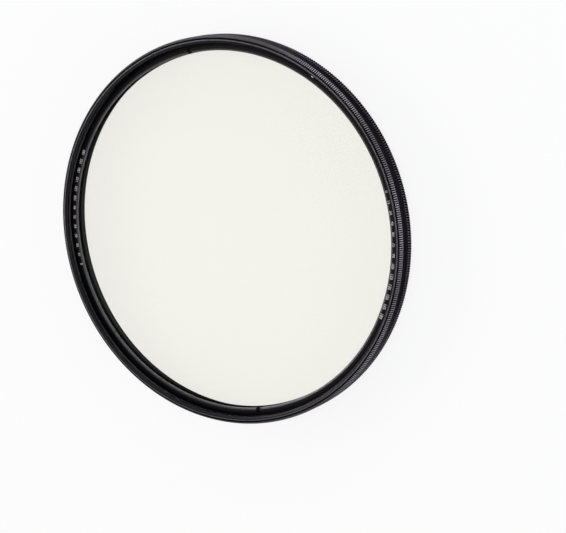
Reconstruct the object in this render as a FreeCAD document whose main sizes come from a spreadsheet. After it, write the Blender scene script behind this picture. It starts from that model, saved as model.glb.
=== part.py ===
import FreeCAD, Part

import os

import Sketcher

# Circular polarizing filter: two turned rings, one inside the other, that carry a laminated polarizer.
# The optical axis is Z, the front (the side that faces the scene) is up, and the filter lies on the
# end of its male thread, which is the plane Z = 0. All sizes are in millimetres.

# Driving sizes, each with the piece or fit that it belongs to. The thread's diameter sets how large the
# filter is, and every other radius is a wall or a step away from it.
SIZES = [
    # Accessory threads, the same at the front and at the rear.
    ("thread_dia", 95.0),
    ("thread_pitch", 1.0),
    ("thread_depth_ratio", 0.5413),
    # Rear ring, from its lower end up.
    ("rear_thread_length", 2.0),
    ("rear_thread_bevel", 0.3),
    ("rear_thread_wall", 1.3),
    ("relief_width", 0.5),
    ("relief_depth", 0.65),
    ("rear_knurl_width", 1.8),
    ("rear_knurl_step", 0.2),
    ("rear_knurl_count", 126),
    ("rear_knurl_depth", 0.25),
    ("split_gap", 0.2),
    # Front ring, from the split up to the rim.
    ("front_band_rise", 1.5),
    ("front_band_width", 2.85),
    ("front_knurl_height", 0.65),
    ("front_knurl_rise", 0.52),
    ("front_knurl_ledge", 0.08),
    ("front_knurl_count", 145),
    ("front_knurl_depth", 0.2),
    ("front_knurl_land", 0.3),
    ("rim_bevel_height", 0.2),
    ("rim_bevel_rise", 0.15),
    ("thread_entry_bevel", 0.55),
    ("front_thread_depth", 2.2),
    # Neck of the front ring and the seat of the glass inside it.
    ("neck_wall", 0.75),
    ("seat_lip_width", 1.2),
    ("seat_lip_thickness", 0.35),
    # Ring that clamps the glass.
    ("retainer_step", 0.5),
    ("retainer_width", 1.2),
    ("retainer_height", 0.8),
    ("retainer_bevel", 0.35),
    ("spanner_slot_width", 1.2),
    ("spanner_slot_depth", 0.4),
    ("spanner_slot_angle", -8.5),
    # Laminate of two glasses with the two films between them.
    ("front_glass_thickness", 0.8),
    ("polarizer_thickness", 0.12),
    ("retarder_thickness", 0.08),
    ("rear_glass_thickness", 0.8),
    # Flat snap ring that keeps the rings together.
    ("snap_ring_width", 0.5),
    ("snap_ring_thickness", 0.45),
    ("snap_ring_split_angle", 5.0),
    # Knurl notches: overlap of neighbours, which keeps the teeth sharp, and overrun past the surface.
    ("knurl_overlap", 0.2),
    ("knurl_reach", 0.02),
    ("knurl_overrun", 0.1),
    # Clearances, radial or axial as their names say.
    ("retainer_clearance", 0.02),
    ("glass_clearance", 0.05),
    ("running_clearance", 0.05),
    ("neck_end_clearance", 0.1),
    ("snap_seat_clearance", 0.02),
    ("snap_run_clearance", 0.1),
]

# Radii and heights that follow from the driving sizes. The plain wall that stands for the front thread
# is at the crests of an internal thread, whose depth is a fixed ratio of its pitch.
LEVELS = [
    ("thread_radius", "thread_dia / 2"),
    ("thread_wall_radius", "thread_radius - thread_depth_ratio * thread_pitch"),
    ("rear_lead_radius", "thread_radius - rear_thread_bevel"),
    ("rear_bore_radius", "thread_radius - rear_thread_wall"),
    ("relief_radius", "thread_radius - relief_depth"),
    ("front_ring_radius", "thread_radius + front_band_rise"),
    ("front_knurl_base", "front_ring_radius - front_knurl_ledge"),
    ("front_knurl_radius", "front_knurl_base - front_knurl_rise"),
    ("rim_bevel_radius", "front_knurl_radius - front_knurl_land"),
    ("rim_radius", "rim_bevel_radius - rim_bevel_rise"),
    ("thread_mouth_radius", "thread_wall_radius + thread_entry_bevel"),
    ("rear_knurl_radius", "front_ring_radius + rear_knurl_step"),
    ("seat_radius", "thread_wall_radius - retainer_step"),
    ("retainer_radius", "seat_radius - retainer_clearance"),
    ("retainer_bore_radius", "retainer_radius - retainer_width"),
    ("retainer_face_radius", "retainer_bore_radius + retainer_bevel"),
    ("slot_overrun_radius", "retainer_radius + retainer_step"),
    ("glass_radius", "seat_radius - glass_clearance"),
    ("seat_aperture_radius", "seat_radius - seat_lip_width"),
    ("neck_radius", "seat_radius + neck_wall"),
    ("socket_radius", "neck_radius + running_clearance"),
    ("snap_middle_radius", "(neck_radius + socket_radius) / 2"),
    ("snap_outer_radius", "snap_middle_radius + snap_ring_width / 2"),
    ("snap_inner_radius", "snap_middle_radius - snap_ring_width / 2"),
    ("snap_run_radius", "snap_inner_radius - snap_run_clearance"),
    ("snap_turn_angle", "360 - snap_ring_split_angle"),
    ("rear_notch_width", "2 * (rear_knurl_radius * tan(180 / rear_knurl_count) + knurl_overlap)"),
    ("rear_notch_opening", "rear_notch_width * (1 + knurl_reach / rear_knurl_depth)"),
    ("front_notch_width", "2 * (front_knurl_base * tan(180 / front_knurl_count) + knurl_overlap)"),
    ("front_notch_opening", "front_notch_width * (1 + knurl_reach / front_knurl_depth)"),
    ("front_notch_height", "front_knurl_height + knurl_overrun"),
    ("relief_start", "rear_thread_length - relief_width"),
    ("flange_top", "rear_thread_length + rear_knurl_width"),
    ("shoulder", "flange_top + split_gap"),
    ("knurl_bottom", "shoulder + front_band_width"),
    ("knurl_top", "knurl_bottom + front_knurl_height"),
    ("rim", "knurl_top + rim_bevel_height"),
    ("thread_start", "rim - thread_entry_bevel"),
    ("retainer_face", "rim - front_thread_depth"),
    ("retainer_edge", "retainer_face - retainer_bevel"),
    ("glass_front", "retainer_face - retainer_height"),
    ("polarizer_front", "glass_front - front_glass_thickness"),
    ("retarder_front", "polarizer_front - polarizer_thickness"),
    ("rear_glass_front", "retarder_front - retarder_thickness"),
    ("seat_floor", "rear_glass_front - rear_glass_thickness"),
    ("neck_end", "seat_floor - seat_lip_thickness"),
    ("socket_floor", "neck_end - neck_end_clearance"),
    ("snap_middle", "(socket_floor + flange_top) / 2"),
    ("snap_low", "snap_middle - snap_ring_thickness / 2"),
    ("snap_high", "snap_middle + snap_ring_thickness / 2"),
    ("snap_seat_high", "snap_high + snap_seat_clearance"),
    ("snap_run_low", "snap_low - snap_run_clearance"),
    ("snap_run_high", "snap_high + snap_run_clearance"),
]

# Height of the plane that the filter lies on.
BASE = "base"

doc = FreeCAD.newDocument("polarizing_filter")
sheet = doc.addObject("Spreadsheet::Sheet", "Sizes")


def fill_sheet():
    """Write the driving sizes, then the levels that are worked out from them."""
    row = 0
    for name, value in SIZES:
        row += 1
        sheet.set("A%d" % row, name)
        sheet.set("B%d" % row, str(value))
        sheet.setAlias("B%d" % row, name)
    doc.recompute()
    for name, formula in LEVELS:
        row += 1
        sheet.set("A%d" % row, name)
        sheet.set("B%d" % row, "=" + formula)
        sheet.setAlias("B%d" % row, name)
        doc.recompute()


def size(name):
    """Value of a named size; the base plane is at zero."""
    if name == BASE:
        return 0.0
    return float(getattr(sheet, name))


def bind(target, path, name):
    """Tie a property of an object to a named size."""
    target.setExpression(path, "Sizes." + name)


def new_body(label):
    """Start one solid piece, named as it is in the assembly."""
    body = doc.addObject("PartDesign::Body", label + "_body")
    body.Label = label
    return body


def origin_part(body, role):
    """One of the planes or axes of a body's own origin."""
    return [part for part in body.Origin.OriginFeatures if part.Role == role][0]


def attach(sketch, body, role):
    """Lay a sketch on one of its body's own origin planes."""
    sketch.AttachmentSupport = (origin_part(body, role), "")
    sketch.MapMode = "FlatFace"


def half_section(body, name, corners):
    """Closed outline in the plane of the axis, from (radius, height) names, taken in order.

    A corner that keeps the radius or the height of the one before it is held by a vertical or
    horizontal line, and every other corner by its distance from the axis and from the base.
    """
    sketch = body.newObject("Sketcher::SketchObject", name)
    attach(sketch, body, "XZ_Plane")
    points = [FreeCAD.Vector(size(radius), size(height), 0) for radius, height in corners]
    count = len(corners)
    for index in range(count):
        sketch.addGeometry(Part.LineSegment(points[index], points[(index + 1) % count]), False)
    for index in range(count):
        sketch.addConstraint(Sketcher.Constraint("Coincident", index, 2, (index + 1) % count, 1))
    for index, (radius, height) in enumerate(corners):
        before = corners[index - 1] if index else (None, None)
        if radius == before[0]:
            sketch.addConstraint(Sketcher.Constraint("Vertical", index - 1))
        else:
            rule = sketch.addConstraint(
                Sketcher.Constraint("DistanceX", -1, 1, index, 1, size(radius)))
            bind(sketch, "Constraints[%d]" % rule, radius)
        if height == before[1]:
            sketch.addConstraint(Sketcher.Constraint("Horizontal", index - 1))
        elif height == BASE:
            sketch.addConstraint(Sketcher.Constraint("PointOnObject", index, 1, -1))
        else:
            rule = sketch.addConstraint(
                Sketcher.Constraint("DistanceY", -1, 1, index, 1, size(height)))
            bind(sketch, "Constraints[%d]" % rule, height)
    return sketch


def turned(body, name, corners, angle_name=None):
    """Solid of revolution about the optical axis, all the way round unless an angle is named."""
    sketch = half_section(body, name + "_section", corners)
    doc.recompute()
    feature = body.newObject("PartDesign::Revolution", name)
    feature.Profile = sketch
    feature.ReferenceAxis = (sketch, ["V_Axis"])
    feature.Angle = 360
    if angle_name:
        bind(feature, "Angle", angle_name)
    sketch.Visibility = False
    doc.recompute()
    return feature


def turned_groove(body, name, corners):
    """Groove cut all the way round the optical axis."""
    sketch = half_section(body, name + "_section", corners)
    doc.recompute()
    feature = body.newObject("PartDesign::Groove", name)
    feature.Profile = sketch
    feature.ReferenceAxis = (sketch, ["V_Axis"])
    feature.Angle = 360
    sketch.Visibility = False
    doc.recompute()
    return feature


def knurl(body, name, outline, length, count, lean=None):
    """Row of sharp V notches, side by side all the way round, that run upwards and may lean inwards.

    The outline names the radius and the height that a notch is drawn at, its depth, and its opening,
    which lies just outside the surface. The lean names how far a notch goes in and up.
    """
    radius, height, depth, opening = outline
    turned_volume = body.Shape.Volume
    sketch = body.newObject("Sketcher::SketchObject", name + "_notch_outline")
    attach(sketch, body, "XY_Plane")
    bind(sketch, "AttachmentOffset.Base.x", radius)
    bind(sketch, "AttachmentOffset.Base.z", height)
    root = size(depth)
    reach = size("knurl_reach")
    half_opening = size(opening) / 2
    corners = [
        FreeCAD.Vector(-root, 0, 0),
        FreeCAD.Vector(reach, -half_opening, 0),
        FreeCAD.Vector(reach, half_opening, 0),
    ]
    for index in range(3):
        sketch.addGeometry(Part.LineSegment(corners[index], corners[(index + 1) % 3]), False)
    for index in range(3):
        sketch.addConstraint(Sketcher.Constraint("Coincident", index, 2, (index + 1) % 3, 1))
    sketch.addConstraint(Sketcher.Constraint("PointOnObject", 0, 1, -1))
    sketch.addConstraint(Sketcher.Constraint("Symmetric", 1, 1, 1, 2, -1))
    rule = sketch.addConstraint(Sketcher.Constraint("DistanceX", 0, 1, -1, 1, root))
    bind(sketch, "Constraints[%d]" % rule, depth)
    rule = sketch.addConstraint(Sketcher.Constraint("DistanceX", -1, 1, 1, 1, reach))
    bind(sketch, "Constraints[%d]" % rule, "knurl_reach")
    rule = sketch.addConstraint(Sketcher.Constraint("DistanceY", 1, 1, 1, 2, 2 * half_opening))
    bind(sketch, "Constraints[%d]" % rule, opening)
    doc.recompute()

    notch = body.newObject("PartDesign::Pocket", name + "_notch")
    notch.Profile = sketch
    notch.Type = "Length"
    notch.Reversed = lean is None
    notch.Refine = False
    bind(notch, "Length", length)
    if lean:
        notch.UseCustomVector = True
        notch.Direction = FreeCAD.Vector(-size(lean[0]), 0, size(lean[1]))
        notch.setExpression("Direction.x", "-Sizes." + lean[0])
        bind(notch, "Direction.z", lean[1])
    sketch.Visibility = False
    doc.recompute()

    row = body.newObject("PartDesign::PolarPattern", name)
    row.Originals = [notch]
    row.Axis = (origin_part(body, "Z_Axis"), [""])
    row.Angle = 360
    row.Refine = True
    bind(row, "Occurrences", count)
    body.Tip = row
    doc.recompute()
    if body.Shape.Volume >= turned_volume:
        raise RuntimeError("the notches of %s cut nothing" % name)


def make_rear_ring():
    """Fixed ring: male thread, relief, knurled flange and the socket that the neck turns in."""
    body = new_body("rear_ring")
    turned(body, "rear_ring_turning", [
        ("rear_bore_radius", BASE),
        ("rear_lead_radius", BASE),
        ("thread_radius", "rear_thread_bevel"),
        ("thread_radius", "relief_start"),
        ("relief_radius", "relief_start"),
        ("relief_radius", "rear_thread_length"),
        ("rear_knurl_radius", "rear_thread_length"),
        ("rear_knurl_radius", "flange_top"),
        ("socket_radius", "flange_top"),
        ("socket_radius", "socket_floor"),
        ("rear_bore_radius", "socket_floor"),
    ])
    turned_groove(body, "snap_ring_seat", [
        ("snap_middle_radius", "snap_low"),
        ("snap_outer_radius", "snap_low"),
        ("snap_outer_radius", "snap_seat_high"),
        ("snap_middle_radius", "snap_seat_high"),
    ])
    knurl(body, "rear_knurl",
          ("rear_knurl_radius", "rear_thread_length", "rear_knurl_depth", "rear_notch_opening"),
          "rear_knurl_width", "rear_knurl_count")
    return body


def make_front_ring():
    """Turning ring: neck, glass seat, smooth band, knurled bevel, rim and accessory thread wall."""
    body = new_body("front_ring")
    turned(body, "front_ring_turning", [
        ("seat_aperture_radius", "neck_end"),
        ("neck_radius", "neck_end"),
        ("neck_radius", "shoulder"),
        ("front_ring_radius", "shoulder"),
        ("front_ring_radius", "knurl_bottom"),
        ("front_knurl_base", "knurl_bottom"),
        ("front_knurl_radius", "knurl_top"),
        ("rim_bevel_radius", "knurl_top"),
        ("rim_radius", "rim"),
        ("thread_mouth_radius", "rim"),
        ("thread_wall_radius", "thread_start"),
        ("thread_wall_radius", "retainer_face"),
        ("seat_radius", "retainer_face"),
        ("seat_radius", "seat_floor"),
        ("seat_aperture_radius", "seat_floor"),
    ])
    turned_groove(body, "snap_ring_run", [
        ("snap_run_radius", "snap_run_low"),
        ("socket_radius", "snap_run_low"),
        ("socket_radius", "snap_run_high"),
        ("snap_run_radius", "snap_run_high"),
    ])
    knurl(body, "front_knurl",
          ("front_knurl_base", "knurl_bottom", "front_knurl_depth", "front_notch_opening"),
          "front_notch_height", "front_knurl_count", ("front_knurl_rise", "front_knurl_height"))
    return body


def make_retaining_ring():
    """Threaded ring that clamps the glass, with two spanner slots across its face."""
    body = new_body("glass_retaining_ring")
    turned(body, "retainer_turning", [
        ("retainer_bore_radius", "glass_front"),
        ("retainer_radius", "glass_front"),
        ("retainer_radius", "retainer_face"),
        ("retainer_face_radius", "retainer_face"),
        ("retainer_bore_radius", "retainer_edge"),
    ])
    solid_volume = body.Shape.Volume

    sketch = body.newObject("Sketcher::SketchObject", "spanner_slot_outline")
    attach(sketch, body, "XY_Plane")
    bind(sketch, "AttachmentOffset.Base.z", "retainer_face")
    half_width = size("spanner_slot_width") / 2
    overrun = size("slot_overrun_radius")
    corners = [
        FreeCAD.Vector(0, -half_width, 0),
        FreeCAD.Vector(overrun, -half_width, 0),
        FreeCAD.Vector(overrun, half_width, 0),
        FreeCAD.Vector(0, half_width, 0),
    ]
    for index in range(4):
        sketch.addGeometry(Part.LineSegment(corners[index], corners[(index + 1) % 4]), False)
    for index in range(4):
        sketch.addConstraint(Sketcher.Constraint("Coincident", index, 2, (index + 1) % 4, 1))
    for index in (0, 2):
        sketch.addConstraint(Sketcher.Constraint("Horizontal", index))
    sketch.addConstraint(Sketcher.Constraint("Vertical", 1))
    sketch.addConstraint(Sketcher.Constraint("PointOnObject", 0, 1, -2))
    sketch.addConstraint(Sketcher.Constraint("Symmetric", 0, 1, 3, 1, -1))
    rule = sketch.addConstraint(Sketcher.Constraint("DistanceX", 0, 1, 0, 2, overrun))
    bind(sketch, "Constraints[%d]" % rule, "slot_overrun_radius")
    rule = sketch.addConstraint(Sketcher.Constraint("DistanceY", 1, 1, 1, 2, 2 * half_width))
    bind(sketch, "Constraints[%d]" % rule, "spanner_slot_width")
    doc.recompute()

    slot = body.newObject("PartDesign::Pocket", "spanner_slot")
    slot.Profile = sketch
    slot.Type = "Length"
    bind(slot, "Length", "spanner_slot_depth")
    sketch.Visibility = False
    doc.recompute()

    pair = body.newObject("PartDesign::PolarPattern", "spanner_slots")
    pair.Originals = [slot]
    pair.Axis = (sketch, ["N_Axis"])
    pair.Angle = 360
    pair.Occurrences = 2
    body.Tip = pair
    doc.recompute()
    if body.Shape.Volume >= solid_volume:
        raise RuntimeError("the spanner slots cut nothing")

    # The ring stops turning where it clamps the glass, which sets the slots' angle.
    body.Placement.Rotation = FreeCAD.Rotation(FreeCAD.Vector(0, 0, 1), size("spanner_slot_angle"))
    bind(body, "Placement.Rotation.Angle", "spanner_slot_angle")
    return body


def make_disc(label, thickness, lower_height):
    """Disc of the laminate; the glasses and the films are all as wide as each other."""
    disc = doc.addObject("Part::Cylinder", label + "_disc")
    disc.Label = label
    bind(disc, "Radius", "glass_radius")
    bind(disc, "Height", thickness)
    bind(disc, "Placement.Base.z", lower_height)
    doc.recompute()
    return disc


def make_snap_ring():
    """Flat split ring, seated in the groove of the socket, that holds the neck by its own groove."""
    body = new_body("snap_ring")
    turned(body, "snap_ring_turning", [
        ("snap_inner_radius", "snap_low"),
        ("snap_outer_radius", "snap_low"),
        ("snap_outer_radius", "snap_high"),
        ("snap_inner_radius", "snap_high"),
    ], "snap_turn_angle")
    return body


def check(pieces):
    """Stop before anything is written if an object failed or a piece has no sound solid."""
    for item in doc.Objects:
        if "Invalid" in item.State or "Error" in item.State:
            raise RuntimeError("%s did not compute: %s" % (item.Label, item.State))
    for piece in pieces:
        if piece.Shape.isNull() or not piece.Shape.isValid() or not piece.Shape.Solids:
            raise RuntimeError("%s has no sound solid" % piece.Label)


def main():
    fill_sheet()
    pieces = [
        make_rear_ring(),
        make_front_ring(),
        make_retaining_ring(),
        make_disc("front_glass", "front_glass_thickness", "polarizer_front"),
        make_disc("polarizing_film", "polarizer_thickness", "retarder_front"),
        make_disc("quarter_wave_film", "retarder_thickness", "rear_glass_front"),
        make_disc("rear_glass", "rear_glass_thickness", "seat_floor"),
        make_snap_ring(),
    ]
    doc.recompute()
    check(pieces)
    os.makedirs("parts", exist_ok=True)
    for piece in pieces:
        piece.Shape.exportStep(os.path.join("parts", piece.Label + ".step"))
        print("%-22s %10.2f mm3" % (piece.Label, piece.Shape.Volume))


main()
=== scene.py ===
import math

import bmesh
import bpy
from bpy.props import FloatProperty, FloatVectorProperty, IntProperty, PointerProperty
from mathutils import Euler, Matrix, Vector


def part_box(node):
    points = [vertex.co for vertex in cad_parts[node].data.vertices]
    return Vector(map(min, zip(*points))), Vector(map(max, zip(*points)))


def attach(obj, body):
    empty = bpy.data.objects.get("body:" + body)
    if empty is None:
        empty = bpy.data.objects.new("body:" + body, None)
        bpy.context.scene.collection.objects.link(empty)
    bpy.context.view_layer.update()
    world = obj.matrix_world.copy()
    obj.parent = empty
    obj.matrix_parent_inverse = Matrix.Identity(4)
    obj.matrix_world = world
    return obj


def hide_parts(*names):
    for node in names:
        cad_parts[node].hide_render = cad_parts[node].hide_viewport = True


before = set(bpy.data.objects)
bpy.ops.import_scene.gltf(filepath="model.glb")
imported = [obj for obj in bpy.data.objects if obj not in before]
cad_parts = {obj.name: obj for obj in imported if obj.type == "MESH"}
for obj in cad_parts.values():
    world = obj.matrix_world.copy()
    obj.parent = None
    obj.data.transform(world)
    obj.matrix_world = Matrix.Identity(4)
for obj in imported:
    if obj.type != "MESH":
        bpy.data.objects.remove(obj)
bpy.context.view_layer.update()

bl_info = {
    "name": "Circular polarizing filter",
    "version": (1, 0, 0),
    "blender": (4, 5, 0),
    "location": "3D View > Sidebar > Filter",
    "description": "Models and finishes the pieces of a screw-in circular polarizing filter",
    "category": "Object",
}

# The box of the packed solids, and the boxes of the nodes that the pieces stand for.
FRONT_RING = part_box("front_ring")
REAR_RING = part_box("rear_ring")
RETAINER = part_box("glass_retaining_ring")
FRONT_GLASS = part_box("front_glass")
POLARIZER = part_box("polarizing_film")
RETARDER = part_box("quarter_wave_film")
REAR_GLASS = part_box("rear_glass")
SNAP_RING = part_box("snap_ring")

MM = 0.001
AXIS = (0, 0, 1)
ORIGIN = (0, 0, 0)
NO_STEP = (0, 0, 0)
LOW, HIGH = 0, 1
WHITE = (1, 1, 1, 1)

# Meshes: points closer than this are merged, and edges sharper than this are creased.
MERGE_DISTANCE = 0.003 * MM
SHARP_ANGLE = math.radians(22)

# Steps round a disc, round half of the clamp ring and across one of its slots.
DISC_STEPS = 360
HALF_RING_STEPS = 360
SLOT_STEPS = 4

# Knurls: where the land of a tooth starts and ends, and how near to a groove counts as in it,
# all as shares of the pitch; and how far below the bevel a front tooth starts, as a share of the
# way that its groove runs out.
LAND_START, LAND_END = 0.36, 0.64
SEAM_MARGIN = 0.01
TOOTH_START = 0.2

# Threads: steps of one turn and of the run-in, half widths of the ridge as shares of the pitch,
# and how far its foot is sunk into the wall.
TURN_STEPS = 240
RUN_IN_STEPS = 16
RIDGE_FOOT = 0.44
RIDGE_TOP = 0.03
RIDGE_SINK = 0.03 * MM

# Height of a digit as a share of the size of its font, and the share of the paint's thickness
# that is solid; the rest keeps it clear of the face.
DIGIT_SHARE = 0.69
PAINT_BODY = 0.8

# Slope of the bevel at the mouth of the front thread.
MOUTH_SLOPE = math.radians(45)

# Vertex value of the anodised rings: above zero for paler edges, which are worn and also carry
# painted highlights, and below zero, down to GAP_SHADE, for painted shade in the steps and the gaps
# between the teeth.
WEAR_AND_LIGHT = "wear_and_painted_light"
GAP_SHADE = -1.2
PLAIN = 0.0

# Wear and painted light of the front ring, from the shoulder up over the knurl to the mouth:
# pale worn edges that also carry painted highlights, and painted shade in the steps beside them.
SHOULDER_EDGE = 0.25
FRONT_TOOTH_FOOT = 0.3
FRONT_TOOTH_TIP = 0.35
KNURL_LEDGE_SHADE = 0.3 * GAP_SHADE
RIM_FOOT_SHADE = 0.4 * GAP_SHADE
RIM_BEVEL_FOOT_SHADE = 0.35 * GAP_SHADE
RIM_BEVEL_TOP_SHADE = 0.3 * GAP_SHADE
RIM_EDGE = 0.5
RIM_HIGHLIGHT_LINE = 1.0
RIM_INSIDE_SHADE = 0.15 * GAP_SHADE
MOUTH_EDGE_SHADE = 0.06 * GAP_SHADE

# Wear and painted highlights of the rear ring, on its lead edge and its teeth.
LEAD_EDGE = 0.3
REAR_TOOTH_FOOT = 0.16
REAR_TOOTH_TIP = 0.3

# Wear and painted highlights of the clamp ring's bevel, from the face down into the bore.
FACE_EDGE = 0.17
BEVEL_START = 0.16
BEVEL_MIDDLE = 0.06
BEVEL_END = 0.4
BORE_EDGE = 0.52
BORE_WALL = 0.12

# Anodised metal: its roughness and how strong its tool marks are.
FRONT_SATIN = (0.34, 0.2)
REAR_SATIN = (0.36, 0.2)
CLAMP_MATT = (0.42, 0.15)

# How far the roughness spreads to both sides, how deep the tool marks are, the share of the
# colour and of the reflection tint that is left in a gap as painted shade, and the value at which a
# gap is that dark.
GLOSS_SPREAD = 0.07
RELIEF = 0.02 * MM
GAP_SHADE_SHARE = 0.05
FULL_GAP_SHADE = 0.5 * GAP_SHADE

# Scuffs: the shares of the wear and painted highlights that they leave, and the noise values where
# they start and end.
SCUFF_SHARES = (0.62, 1.0)
SCUFF_SPAN = (0.3, 0.7)

# Noises: scale, detail and roughness.
LATHE_MARKS = (16000.0, 3.0, 0.6)
STRIP_MARKS = (24000.0, 3.0, 0.6)
TONE_DRIFT = (85.0, 4.0, 0.55)
SCUFFS = (1400.0, 2.0, 0.5)
GLASS_CLOUDS = (24.0, 2.0, 0.5)
PAINT_SPECKS = (5200.0, 2.0, 0.5)
FLOOR_SPECKS = (60.0, 3.0, 0.5)

# Clear surfaces: refraction, strength of the reflection and unevenness of the tint. Nothing
# shines inside the laminate.
COATED = (1.52, 0.16, 0.006)
CEMENTED = (1.0, 0.0, 0.004)
POLARIZING = (1.0, 0.0, 0.01)

# Paint and steel: the share of the colour that is left in the darkest spots, and the roughness.
PAINT_SHADE = 0.8
PAINT_ROUGHNESS = 0.6
STEEL_SHADE = 0.75
STEEL_ROUGHNESS = (0.22, 0.42)

# Floor: half its width, its divisions, its roughness, the share of its colour that is left in the
# darkest specks, and the share of plain white in what the camera sees of it, which rises with the
# distance from the filter.
FLOOR_REACH = 3.0
FLOOR_DIVISIONS = 8
FLOOR_ROUGHNESS = 0.9
FLOOR_SHADE = 0.985
FLOOR_GLOW = (0.85, 1.0)
GLOW_REACH = (0.12, 0.5)

# Studio: strength of its light low down and overhead, and the upward parts of a direction between
# which it fades.
STUDIO_LIGHT = (1.0, 0.12)
STUDIO_FADE = (0.3, 0.75)

# Softboxes: azimuth and elevation in degrees, distance, width and depth in metres, watts, tint.
SOFTBOXES = {
    "top_softbox": (-60, 78, 0.62, 0.34, 0.34, 0.9, (1.0, 1.0, 0.98)),
    "back_softbox": (68, 24, 0.60, 0.55, 0.13, 1.6, (1.0, 1.0, 0.97)),
    "right_strip": (-38, 13, 0.60, 0.45, 0.16, 0.95, (0.86, 0.89, 1.0)),
    "upper_strip": (36, 6.5, 0.60, 0.55, 0.12, 0.8, (0.8, 0.87, 1.0)),
    "lower_strip": (-164, 9, 0.62, 0.40, 0.14, 0.7, (0.86, 0.89, 1.0)),
    "front_strip": (-112, 16, 0.60, 0.45, 0.16, 0.95, (0.9, 0.92, 1.0)),
}

# Camera: width of its sensor in millimetres, and the nearest and farthest that it sees.
SENSOR_WIDTH = 36.0
NEAREST, FARTHEST = 0.01, 20.0


# Kinds of settings.

def length(name, description, millimetres):
    """A length of the filter, given in millimetres and kept in metres."""
    return FloatProperty(name=name, description=description, default=millimetres * MM,
                         unit="LENGTH", precision=5)


def packed(name, description, metres):
    """A length that the packed solids already give, in metres."""
    return FloatProperty(name=name, description=description, default=metres,
                         unit="LENGTH", precision=5)


def angle(name, description, degrees):
    """An angle about the axis, given in degrees and kept in radians."""
    return FloatProperty(name=name, description=description, default=math.radians(degrees),
                         subtype="ANGLE")


def factor(name, description, value):
    """A plain number that is never negative."""
    return FloatProperty(name=name, description=description, default=value, min=0.0)


def count(name, description, value):
    """A whole number of like things."""
    return IntProperty(name=name, description=description, default=value, min=1)


def colour(name, description, value):
    """A colour of a finish."""
    return FloatVectorProperty(name=name, description=description, default=value,
                               subtype="COLOR", size=3, min=0.0, max=1.0)


def point(name, description, metres):
    """A point in the shared frame."""
    return FloatVectorProperty(name=name, description=description, default=metres,
                               subtype="XYZ", unit="LENGTH")


class FrontRingSettings(bpy.types.PropertyGroup):
    """Sizes of the turning ring."""
    band_radius: packed("Band radius", "Outside of the smooth band", FRONT_RING[HIGH].x)
    neck_end: packed("Neck end", "Height of the lower end of the neck", FRONT_RING[LOW].z)
    rim: packed("Rim", "Height of the front rim", FRONT_RING[HIGH].z)
    neck_radius: length("Neck radius", "Outside of the neck that turns in the rear ring", 47.2087)
    neck_chamfer: length("Neck chamfer", "Chamfer on the lower end of the neck", 0.1)
    groove_radius: length("Groove radius", "Floor of the groove for the snap ring", 46.8837)
    groove_low: length("Groove low", "Lower side of the groove for the snap ring", 2.8)
    groove_high: length("Groove high", "Upper side of the groove for the snap ring", 3.45)
    aperture_radius: length("Aperture radius", "Inside of the lip that the glass rests on", 45.2587)
    seat_radius: length("Seat radius", "Wall round the glass and the clamp ring", 46.4587)
    shoulder: length("Shoulder", "Height of the lower edge of the smooth band", 4.0)
    knurl_low: length("Knurl low", "Height where the knurled bevel starts", 6.85)
    knurl_high: length("Knurl high", "Height where the knurled bevel ends", 7.5)
    knurl_radius: length("Knurl radius", "Upper radius of the knurled bevel", 48.4)
    knurl_depth: length("Knurl depth", "Depth of the grooves of the front knurl", 0.17)
    knurl_teeth: count("Knurl teeth", "Teeth round the front knurl", 580)
    rim_radius: length("Rim radius", "Outer edge of the rim", 47.95)
    rim_foot_radius: length("Rim foot radius", "Foot of the bevel outside the rim", 48.1)
    mouth_radius: length("Mouth radius", "Inner edge of the rim", 47.51)
    thread_root: length("Thread root", "Wall between the turns of the front thread", 47.1)
    thread_crest: length("Thread crest", "Crests of the front thread", 46.9587)
    thread_start: length("Thread start", "Height of the thread's start over the clamp ring", 0.55)
    thread_pitch: length("Thread pitch", "Rise of one turn of the front thread", 1.0)
    thread_turns: factor("Thread turns", "Turns of the front thread", 0.9)
    edge_break: length("Edge break", "Size of the broken edges", 0.04)


class RearRingSettings(bpy.types.PropertyGroup):
    """Sizes of the fixed ring."""
    flange_radius: packed("Flange radius", "Outside of the knurled flange", REAR_RING[HIGH].x)
    flange_top: packed("Flange top", "Height of the upper face of the flange", REAR_RING[HIGH].z)
    flange_low: length("Flange low", "Height of the lower face of the flange", 2.0)
    flange_bevel: length("Flange bevel", "Bevel on both edges of the flange", 0.2)
    knurl_depth: length("Knurl depth", "Depth of the grooves of the rear knurl", 0.2)
    knurl_teeth: count("Knurl teeth", "Teeth round the rear knurl", 504)
    bore_radius: length("Bore radius", "Bore of the thread", 46.2)
    socket_radius: length("Socket radius", "Wall that the neck turns in", 47.2587)
    socket_floor: length("Socket floor", "Height of the floor of the socket", 2.45)
    groove_radius: packed("Groove radius", "Floor of the snap ring's groove", SNAP_RING[HIGH].x)
    groove_low: packed("Groove low", "Lower side of the snap ring's groove", SNAP_RING[LOW].z)
    groove_high: length("Groove high", "Upper side of the snap ring's groove", 3.37)
    thread_root: length("Thread root", "Wall between the turns of the rear thread", 46.95)
    thread_crest: length("Thread crest", "Crests of the rear thread", 47.49)
    thread_lead: length("Thread lead", "Bevel at the end of the thread", 0.2)
    thread_start: length("Thread start", "Height of the thread's start over the rear end", 0.46)
    thread_pitch: length("Thread pitch", "Rise of one turn of the rear thread", 1.0)
    thread_turns: factor("Thread turns", "Turns of the rear thread", 0.62)
    relief_low: length("Relief low", "Height where the thread runs out", 1.5)
    relief_radius: length("Relief radius", "Floor of the run-out groove", 46.85)
    edge_break: length("Edge break", "Size of the broken edges", 0.05)


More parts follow.
